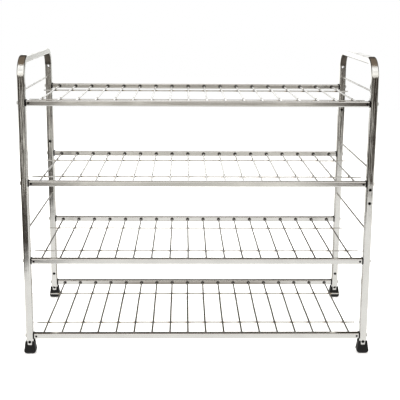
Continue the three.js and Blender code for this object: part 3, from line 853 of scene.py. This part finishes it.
def welded_stainless():
    """The drawn wire once it is spot-welded: each crossing is painted dark brown, a painted shade where
    the wires meet, and made duller, with a straw halo.
    """
    steel = wire_steel.copy()
    steel.name = "spot-welded stainless wire"
    tree = steel.node_tree
    surface = next(node for node in tree.nodes if node.type == "BSDF_PRINCIPLED")
    bright = surface.inputs["Base Color"].links[0].from_socket
    bright_roughness = surface.inputs["Roughness"].links[0].from_socket

    place = put(tree, "ShaderNodeTexCoord").outputs["Object"]
    axes = put(tree, "ShaderNodeSeparateXYZ", {"Vector": place})
    y = put(tree, "ShaderNodeMath", {0: axes.outputs["Y"]}, operation="ABSOLUTE")
    from_long = put(tree, "ShaderNodeMath", {
        0: put(tree, "ShaderNodeMath", {0: y, 1: LONG_OFFSET}, operation="SUBTRACT"),
    }, operation="ABSOLUTE")
    from_cross = from_nearest(tree, axes.outputs["X"], WIRE_PITCH / 2, WIRE_PITCH)
    away = put(tree, "ShaderNodeMath", {0: from_long, 1: from_cross}, operation="MAXIMUM")
    halo = put(tree, "ShaderNodeMapRange", {
        "Value": away, "From Min": 4 * MM, "From Max": 8 * MM, "To Min": 1.0, "To Max": 0.0,
    })
    # painted shade: dark brown round each crossing where the wires shade each other; the same mask raises
    # the roughness
    crossing_shade_and_dulling = put(tree, "ShaderNodeMapRange", {
        "Value": away, "From Min": 2.4 * MM, "From Max": 4.5 * MM, "To Min": 1.0, "To Max": 0.0,
    })
    straw = put(tree, "ShaderNodeMix", {0: halo, 6: bright, 7: linear("#b5a588")}, data_type="RGBA")
    tinted = put(tree, "ShaderNodeMix", {
        0: crossing_shade_and_dulling, 6: straw.outputs[2], 7: linear("#453c35"),
    }, data_type="RGBA")
    dulled = put(tree, "ShaderNodeMath", {
        0: crossing_shade_and_dulling, 1: 0.3, 2: bright_roughness,
    }, operation="MULTIPLY_ADD")
    tree.links.new(tinted.outputs[2], surface.inputs["Base Color"])
    tree.links.new(dulled.outputs[0], surface.inputs["Roughness"])
    return steel


wire_grid = wire_grid_tree()
grid_steel = welded_stainless()
for tier, height in TIER_HEIGHTS.items():
    mesh = grown(f"grid_{tier}", bpy.data.meshes.new(f"grid_start_{tier}"), wire_grid, {
        "Wires": WIRE_COUNT, "Pitch": WIRE_PITCH, "Cross radius": CROSS_WIRE / 2,
        "Cross length": CROSS_LENGTH, "Long radius": LONG_WIRE / 2, "Long length": LONG_LENGTH,
        "Long offset": LONG_OFFSET, "Sink": WELD_SINK, "Kink": KINK, "Seed": SEED_STEP * tier,
        "Finish": grid_steel,
    }, level=False)
    grid = set_down(f"welded_grid_{tier}", mesh, Matrix.Translation((0, 0, height)))
    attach(grid, "root")
    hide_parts(f"tier_{tier}_wire_grid")

# ------------------------------------------------------------------------------------------------
# End plugs. Black plastic, moulded: a flange that keeps the rail off the leg, a body that the rail
# slides over, and a snap button that clicks into the rail's hole. A bolt goes through the middle.
# ------------------------------------------------------------------------------------------------
GAP = 0.3 * MM
FLANGE = 1.6 * MM
FLANGE_LIP = 1.0 * MM
PLUG_LENGTH = 13 * MM
PLUG_EDGE = 0.3 * MM
PLUG_BORE = 2.8 * MM
PLUG_TIP = 1.0 * MM  # chamfer at the plug's inner end
BUTTON_RADIUS = 2.2 * MM
BUTTON_SIDES = 20
BUTTON_ROOT = 1 * MM  # how deep the button starts in the body
BUTTON_DOME = [(1.0, 0.6 * MM), (0.85, 0.2 * MM), (0.5, 0.0)]  # share of radius, depth below the top
PLUG_STEPS = 6  # per rounded corner


def rounded_ring(height, depth, corner, x):
    """Points round an upright rectangle with rounded corners, at one place along X."""
    points = []
    for quarter in range(4):
        sz, sy = [(1, 1), (-1, 1), (-1, -1), (1, -1)][quarter]
        for step in range(PLUG_STEPS + 1):
            turn = (quarter + step / PLUG_STEPS) * math.pi / 2
            z = sz * (height / 2 - corner) + corner * math.cos(turn)
            y = sy * (depth / 2 - corner) + corner * math.sin(turn)
            points.append(Vector((x, y, z)))
    return points


def end_plug(name, material):
    """A right-hand front plug, the face against the leg at x = 0."""
    tall, deep = RAIL_HEIGHT + 2 * FLANGE_LIP, RAIL_DEPTH + 2 * FLANGE_LIP
    inset = 2 * (RAIL_WALL + GAP)
    body_tall, body_deep = RAIL_HEIGHT - inset, RAIL_DEPTH - inset
    corner = RAIL_CORNER
    count = 4 * (PLUG_STEPS + 1)

    def bore_ring(x, radius=PLUG_BORE):
        return [Vector((x, p.y, p.x)) for p in ring(radius, count)]

    body_end = -FLANGE - PLUG_LENGTH
    rings = [
        bore_ring(-PLUG_EDGE),
        bore_ring(0, PLUG_BORE + PLUG_EDGE),
        rounded_ring(tall - 2 * PLUG_EDGE, deep - 2 * PLUG_EDGE, corner, 0),
        rounded_ring(tall, deep, corner + PLUG_EDGE, -PLUG_EDGE),
        rounded_ring(tall, deep, corner + PLUG_EDGE, PLUG_EDGE - FLANGE),
        rounded_ring(tall - 2 * PLUG_EDGE, deep - 2 * PLUG_EDGE, corner, -FLANGE),
        rounded_ring(body_tall, body_deep, corner / 2, -FLANGE),
        rounded_ring(body_tall, body_deep, corner / 2, body_end + PLUG_TIP),
        rounded_ring(body_tall - PLUG_TIP, body_deep - PLUG_TIP, corner / 2, body_end),
        bore_ring(body_end),
    ]
    plug = skinned(name, rings, material, ends=False)

    top = RAIL_DEPTH / 2 + GAP
    dome = [ring(BUTTON_RADIUS, BUTTON_SIDES, body_deep / 2 - BUTTON_ROOT)]
    dome += [ring(BUTTON_RADIUS * share, BUTTON_SIDES, top - below) for share, below in BUTTON_DOME]
    button = skinned("button", dome, material)
    facing_out = Matrix.Rotation(math.radians(90), 4, "X")
    button.transform(Matrix.Translation((GAP - BUTTON_INSET, 0, 0)) @ facing_out)
    shape = bmesh.new()
    shape.from_mesh(plug)
    shape.from_mesh(button)
    shape.to_mesh(plug)
    shape.free()
    return plug


plug_mesh = end_plug("plug", black_plastic)


def corner_turn(sign, way):
    """Turns a right-hand front piece to face another corner."""
    if sign > 0:
        return Matrix.Rotation(math.pi, 4, "X") if way > 0 else Matrix.Identity(4)
    return Matrix.Rotation(math.pi, 4, "Z" if way > 0 else "Y")


for tier, height in TIER_HEIGHTS.items():
    for end, way in ENDS.items():
        for side, sign in SIDES.items():
            seat = Matrix.Translation((sign * (INNER_X - GAP), way * LEG_Y, height))
            plug = set_down(f"plug_{tier}_{end}_{side}", plug_mesh, seat @ corner_turn(sign, way))
            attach(plug, "root")
            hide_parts(f"tier_{tier}_end_plug_{end}_{side}")

# ------------------------------------------------------------------------------------------------
# Bolts. Zinc-plated steel with low domed heads and hexagon sockets, driven through the legs from
# outside and into the end plugs.
# ------------------------------------------------------------------------------------------------
BOLT_RADIUS = 2.5 * MM
BOLT_LENGTH = 30 * MM
PLAIN_SHANK = 6 * MM
POINT_CHAMFER = 0.6 * MM
HEAD_RADIUS = 4.2 * MM
HEAD_HEIGHT = 2.2 * MM
HEAD_EDGE = 0.15 * MM  # height of the head's widest ring over its seat
HEAD_TOP_RADIUS = 1.9 * MM
DOME_STEPS = 6
DOME_FULLNESS = 1.3
SOCKET_FLATS = 2.5 * MM  # across the flats of the hexagon
SOCKET_DEPTH = 1.4 * MM
DRILL_POINT = 0.3 * MM  # the socket's floor is a shallow cone
DRILL_POINT_RADIUS = 0.4 * MM
BEVEL = 0.1 * MM  # of the head's foot and of the socket
THREAD_PITCH = 0.8 * MM
THREAD_DEPTH = 0.35 * MM
BOLT_SIDES = 24


def hexagon_ring(height):
    """Points round the hexagon socket, as many as round the head."""
    points = []
    for i in range(BOLT_SIDES):
        turn = 2 * math.pi * i / BOLT_SIDES
        from_flat = (turn % (math.pi / 3)) - math.pi / 6
        radius = SOCKET_FLATS / 2 / math.cos(from_flat)
        points.append(Vector((radius * math.cos(turn), radius * math.sin(turn), height)))
    return points


def thread_ring(height):
    """Points round a screw thread, where it is cut by one plane."""
    points = []
    for i in range(BOLT_SIDES):
        turn = 2 * math.pi * i / BOLT_SIDES
        phase = (height / THREAD_PITCH - i / BOLT_SIDES) % 1
        radius = BOLT_RADIUS - THREAD_DEPTH * abs(2 * phase - 1)
        points.append(Vector((radius * math.cos(turn), radius * math.sin(turn), height)))
    return points


def button_bolt(name, material):
    """A bolt standing on its point, the head's seat at the origin."""
    threaded = BOLT_LENGTH - PLAIN_SHANK
    steps = 4 * round(threaded / THREAD_PITCH)
    rings = [ring(BOLT_RADIUS - THREAD_DEPTH - POINT_CHAMFER, BOLT_SIDES, -BOLT_LENGTH)]
    rings += [thread_ring(threaded * i / steps - BOLT_LENGTH) for i in range(1, steps)]
    rings += [ring(BOLT_RADIUS, BOLT_SIDES, height) for height in (-PLAIN_SHANK, 0)]
    rings.append(ring(HEAD_RADIUS - BEVEL, BOLT_SIDES, 0))
    rings.append(ring(HEAD_RADIUS, BOLT_SIDES, HEAD_EDGE))
    for step in range(1, DOME_STEPS + 1):
        turn = step / DOME_STEPS * math.pi / 2
        inward = (HEAD_RADIUS - HEAD_TOP_RADIUS) * (1 - math.cos(turn)) ** DOME_FULLNESS
        height = HEAD_EDGE + (HEAD_HEIGHT - HEAD_EDGE) * math.sin(turn)
        rings.append(ring(HEAD_RADIUS - inward, BOLT_SIDES, height))
    socket_floor = HEAD_HEIGHT - SOCKET_DEPTH
    rings += [hexagon_ring(HEAD_HEIGHT - BEVEL), hexagon_ring(socket_floor)]
    rings.append(ring(DRILL_POINT_RADIUS, BOLT_SIDES, socket_floor - DRILL_POINT))
    return skinned(name, rings, material, crease=40)


def zinc_plate():
    """Steel plated with zinc and passivated: a satin grey with a faint blue and straw cast."""
    zinc, tree, place = bare_material("zinc-plated steel")
    cast = put(tree, "ShaderNodeTexNoise", {"Vector": place, "Scale": 1 / (5 * MM), "Detail": 3.0})
    grain = put(tree, "ShaderNodeTexNoise", {"Vector": place, "Scale": 1 / (0.5 * MM), "Detail": 2.0})
    colour = put(tree, "ShaderNodeMix", {
        0: cast.outputs["Fac"], 6: linear("#a9afb6"), 7: linear("#b5ab97"),
    }, data_type="RGBA")
    roughness = put(tree, "ShaderNodeMapRange", {
        "Value": grain.outputs["Fac"], "From Min": 0.3, "From Max": 0.7, "To Min": 0.28, "To Max": 0.42,
    })
    bump = put(tree, "ShaderNodeBump", {
        "Height": grain.outputs["Fac"], "Strength": 0.4, "Distance": 0.03 * MM,
    })
    surface = put(tree, "ShaderNodeBsdfPrincipled", {
        "Base Color": colour.outputs[2], "Metallic": 1.0, "Roughness": roughness, "Normal": bump,
    })
    put(tree, "ShaderNodeOutputMaterial", {"Surface": surface})
    return zinc


bolt_zinc = zinc_plate()
bolt_mesh = button_bolt("bolt", bolt_zinc)
outward = Matrix.Rotation(math.radians(90), 4, "Y")
for tier, height in TIER_HEIGHTS.items():
    for end, way in ENDS.items():
        for side, sign in SIDES.items():
            seat = Matrix.Translation((sign * (INNER_X + TUBE + GAP), way * LEG_Y, height))
            bolt_place = seat @ corner_turn(sign, way) @ outward
            bolt = set_down(f"button_bolt_{tier}_{end}_{side}", bolt_mesh, bolt_place)
            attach(bolt, "root")
            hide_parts(f"tier_{tier}_bolt_{end}_{side}")

# ------------------------------------------------------------------------------------------------
# Studio. The rack stands on white paper, in front of a small lit backdrop. Polished steel shows
# what is round it: the paper and the room's floor, the backdrop, and a dim room in front with a
# bright window and a brown ceiling. Two soft boxes light the rest.
# ------------------------------------------------------------------------------------------------
scene = bpy.context.scene
scene.view_settings.view_transform = "Standard"
scene.view_settings.look = "None"

FLOOR_FRONT = -1.75
FLOOR_BACK = 4.0
FLOOR_HALF = 3.0
floor_mesh = bpy.data.meshes.new("floor")
floor_mesh.from_pydata([
    (-FLOOR_HALF, FLOOR_FRONT, 0), (FLOOR_HALF, FLOOR_FRONT, 0),
    (FLOOR_HALF, FLOOR_BACK, 0), (-FLOOR_HALF, FLOOR_BACK, 0),
], [], [(0, 1, 2, 3)])
floor = bpy.data.objects.new("floor", floor_mesh)
scene.collection.objects.link(floor)
paint = bpy.data.materials.new("lit white paper")
paint.use_nodes = True
sheet = paint.node_tree
sheet.nodes.clear()
matt = put(sheet, "ShaderNodeBsdfDiffuse", {"Color": linear("#f4f4f3")})
glow = put(sheet, "ShaderNodeEmission", {"Color": linear("#ffffff"), "Strength": 0.35})
lit = put(sheet, "ShaderNodeAddShader", {0: matt.outputs[0], 1: glow.outputs[0]})

# What the steel mirrors of it is painted and glows, not lit: bright paper near the rack, greyer further
# back, a painted shade under the shelves, and past the paper's front edge the room's floor, darker to the
# sides
where = put(sheet, "ShaderNodeNewGeometry").outputs["Position"]
floor_axes = put(sheet, "ShaderNodeSeparateXYZ", {"Vector": where})
from_shelves = put(sheet, "ShaderNodeVectorMath", {0: where, 1: (0, 0.14, 0)}, operation="DISTANCE")
under_shelves_painted_shade = put(sheet, "ShaderNodeMapRange", {
    "Value": from_shelves.outputs["Value"], "From Min": 0.18, "From Max": 0.34,
    "To Min": 1.0, "To Max": 0.0,
})
far_back = put(sheet, "ShaderNodeMapRange", {
    "Value": floor_axes.outputs["Y"], "From Min": 0.4, "From Max": 1.0,
})
open_paper = put(sheet, "ShaderNodeMix", {
    0: far_back, 6: linear("#fbfaf8"), 7: linear("#d2d0cc"),
}, data_type="RGBA")
paper = put(sheet, "ShaderNodeMix", {
    0: under_shelves_painted_shade, 6: open_paper.outputs[2], 7: linear("#b3aea7"),
}, data_type="RGBA")
floor_off_axis = put(sheet, "ShaderNodeMath", {
    0: put(sheet, "ShaderNodeMath", {0: floor_axes.outputs["X"], 1: 0.05}, operation="SUBTRACT"),
}, operation="ABSOLUTE")
floor_aside = put(sheet, "ShaderNodeMapRange", {
    "Value": floor_off_axis, "From Min": 0.38, "From Max": 0.52,
}, interpolation_type="SMOOTHSTEP")
room_floor = put(sheet, "ShaderNodeMix", {
    0: floor_aside, 6: linear("#d3d1cc"), 7: linear("#38332e"),
}, data_type="RGBA")
slant = put(sheet, "ShaderNodeMath", {
    0: floor_axes.outputs["X"], 1: 0.95, 2: floor_axes.outputs["Y"],
}, operation="MULTIPLY_ADD")
on_paper = put(sheet, "ShaderNodeMapRange", {
    "Value": slant, "From Min": -1.42, "From Max": -1.2,
}, interpolation_type="SMOOTHSTEP")
ground = put(sheet, "ShaderNodeMix", {
    0: on_paper, 6: room_floor.outputs[2], 7: paper.outputs[2],
}, data_type="RGBA")
# painted reflection: the floor glows with these colours, seen only in the steel
mirrored = put(sheet, "ShaderNodeEmission", {"Color": ground.outputs[2], "Strength": 1.1})
in_mirror = put(sheet, "ShaderNodeLightPath").outputs["Is Glossy Ray"]
seen = put(sheet, "ShaderNodeMixShader", {0: in_mirror, 1: lit.outputs[0], 2: mirrored.outputs[0]})
put(sheet, "ShaderNodeOutputMaterial", {"Surface": seen})
floor_mesh.materials.append(paint)

world = bpy.data.worlds.new("studio")
scene.world = world
world.use_nodes = True
room = world.node_tree
room.nodes.clear()
direction = put(room, "ShaderNodeTexCoord").outputs["Generated"]
axes = put(room, "ShaderNodeSeparateXYZ", {"Vector": direction})


def height_of(degrees):
    """Where a direction this far above the horizon lies on a ramp from straight down to straight up."""
    return (math.sin(math.radians(degrees)) + 1) / 2


def tone_ramp(tones):
    """A ramp by height above the horizon, through (degrees, hex colour) stops."""
    rise = put(room, "ShaderNodeMapRange", {
        "Value": axes.outputs["Z"], "From Min": -1.0, "From Max": 1.0,
    })
    ramp = put(room, "ShaderNodeValToRGB", {"Fac": rise})
    stops = ramp.color_ramp.elements
    while len(stops) < len(tones):
        stops.new(0.5)
    for stop, (degrees, colour) in zip(stops, tones):
        stop.position = height_of(degrees)
        stop.color = linear(colour)
    return ramp.outputs["Color"]


# In front: a dim room, paler in the middle, under a bright window wall and a brown ceiling
front_sides = tone_ramp([
    (-90, "#8f8a84"), (-14, "#4a423b"), (-9, "#332c27"), (0, "#2a2420"), (7, "#4a423b"),
    (11, "#f2efe9"), (59, "#ffffff"), (69, "#776957"), (90, "#6b5f52"),
])
front_middle = tone_ramp([
    (-90, "#a09c96"), (-14, "#c6c4bf"), (-7, "#c2bfb9"), (-5.5, "#6b665f"), (4, "#746f68"),
    (11, "#f2efe9"), (59, "#ffffff"), (69, "#776957"), (90, "#6b5f52"),
])
off_axis = put(room, "ShaderNodeMath", {0: axes.outputs["X"]}, operation="ABSOLUTE")
aside = put(room, "ShaderNodeMapRange", {
    "Value": off_axis, "From Min": 0.14, "From Max": 0.20,
}, interpolation_type="SMOOTHSTEP")
front = put(room, "ShaderNodeMix", {0: aside, 6: front_middle, 7: front_sides}, data_type="RGBA")
clutter = put(room, "ShaderNodeTexNoise", {"Vector": direction, "Scale": 7.0, "Detail": 2.0})
uneven = put(room, "ShaderNodeMapRange", {
    "Value": clutter.outputs["Fac"], "From Min": 0.35, "From Max": 0.65, "To Min": 0.7, "To Max": 1.25,
})
front_uneven = put(room, "ShaderNodeVectorMath", {0: front.outputs[2], "Scale": uneven}, operation="SCALE")

# Behind: a small white backdrop, and the grey room round it over a pale floor
room_behind = tone_ramp([
    (-90, "#a8a5a0"), (-16, "#efeeeb"), (-2, "#efeeeb"), (1, "#5a5753"),
    (10, "#3f3c39"), (32, "#3f3b37"), (55, "#6a5f53"), (90, "#6b5f52"),
])
from_backdrop = put(room, "ShaderNodeMath", {0: axes.outputs["Y"]}, operation="ARCCOSINE")
beyond = put(room, "ShaderNodeMapRange", {
    "Value": from_backdrop, "From Min": math.radians(10.5), "From Max": math.radians(18.5),
}, interpolation_type="SMOOTHSTEP")
lit_wall = put(room, "ShaderNodeMix", {0: beyond, 6: linear("#f8f8f7"), 7: room_behind}, data_type="RGBA")

# The foot of the backdrop is grey at its right, which the inner side of the left top bar mirrors
low_down = put(room, "ShaderNodeMapRange", {
    "Value": axes.outputs["Z"], "From Min": -math.sin(math.radians(2)), "From Max": 0.0,
    "To Min": 1.0, "To Max": 0.0,
})
to_right = put(room, "ShaderNodeMapRange", {
    "Value": axes.outputs["X"],
    "From Min": math.sin(math.radians(7)), "From Max": math.sin(math.radians(8)),
})
right_foot = put(room, "ShaderNodeMath", {0: low_down, 1: to_right}, operation="MULTIPLY")
behind = put(room, "ShaderNodeMix", {
    0: right_foot, 6: lit_wall.outputs[2], 7: linear("#b4b4b1"),
}, data_type="RGBA", blend_type="DARKEN")

ahead = put(room, "ShaderNodeMapRange", {
    "Value": axes.outputs["Y"], "From Min": -0.35, "From Max": 0.0,
}, interpolation_type="SMOOTHSTEP")
all_round = put(room, "ShaderNodeMix", {
    0: ahead, 6: front_uneven.outputs[0], 7: behind.outputs[2],
}, data_type="RGBA")
seen_straight = put(room, "ShaderNodeLightPath").outputs["Is Camera Ray"]
around = put(room, "ShaderNodeBackground", {"Color": all_round.outputs[2], "Strength": 1.55})
backdrop = put(room, "ShaderNodeBackground", {"Color": (1.0, 1.0, 1.0, 1.0), "Strength": 1.0})
shown = put(room, "ShaderNodeMixShader", {0: seen_straight, 1: around.outputs[0], 2: backdrop.outputs[0]})
put(room, "ShaderNodeOutputWorld", {"Surface": shown})


def soft_light(name, location, target, size, power, tint):
    """A square soft box that points at a target."""
    lamp = bpy.data.lights.new(name, "AREA")
    lamp.size = size
    lamp.energy = power
    lamp.color = linear(tint)[:3]
    holder = bpy.data.objects.new(name, lamp)
    holder.location = location
    holder.rotation_euler = (Vector(target) - Vector(location)).to_track_quat("-Z", "Y").to_euler()
    holder.visible_glossy = False  # steel mirrors the room above, not the lamps
    scene.collection.objects.link(holder)


soft_light("overhead", (0.0, 1.0, 2.8), (0, 0.6, 0.0), 2.6, 130, "#ffffff")
soft_light("left_front", (-2.2, -1.6, 1.9), (0, 0, 0.3), 1.0, 25, "#fffaf4")

LENS = 75.5
PICTURE_SHIFT = -0.075
PITCH = math.radians(11.46)
YAW = math.radians(1.14)
ROLL = math.radians(0.37)
CAMERA_PLACE = (-0.0309, -1.9537, 0.7772)
camera_data = bpy.data.cameras.new("camera")
camera_data.lens = LENS
camera_data.sensor_width = 36
camera_data.shift_y = PICTURE_SHIFT
camera = bpy.data.objects.new("camera", camera_data)
scene.collection.objects.link(camera)
forward = Vector((math.sin(YAW) * math.cos(PITCH), math.cos(YAW) * math.cos(PITCH), -math.sin(PITCH)))
right = Vector((math.cos(YAW), -math.sin(YAW), 0))
up = right.cross(forward)
tilted_right = right * math.cos(ROLL) + up * math.sin(ROLL)
tilted_up = up * math.cos(ROLL) - right * math.sin(ROLL)
turned = Matrix((tilted_right, tilted_up, -forward)).transposed()
camera.matrix_world = Matrix.Translation(CAMERA_PLACE) @ turned.to_4x4()
camera_data.clip_start = 0.05
camera_data.clip_end = 50
scene.camera = camera
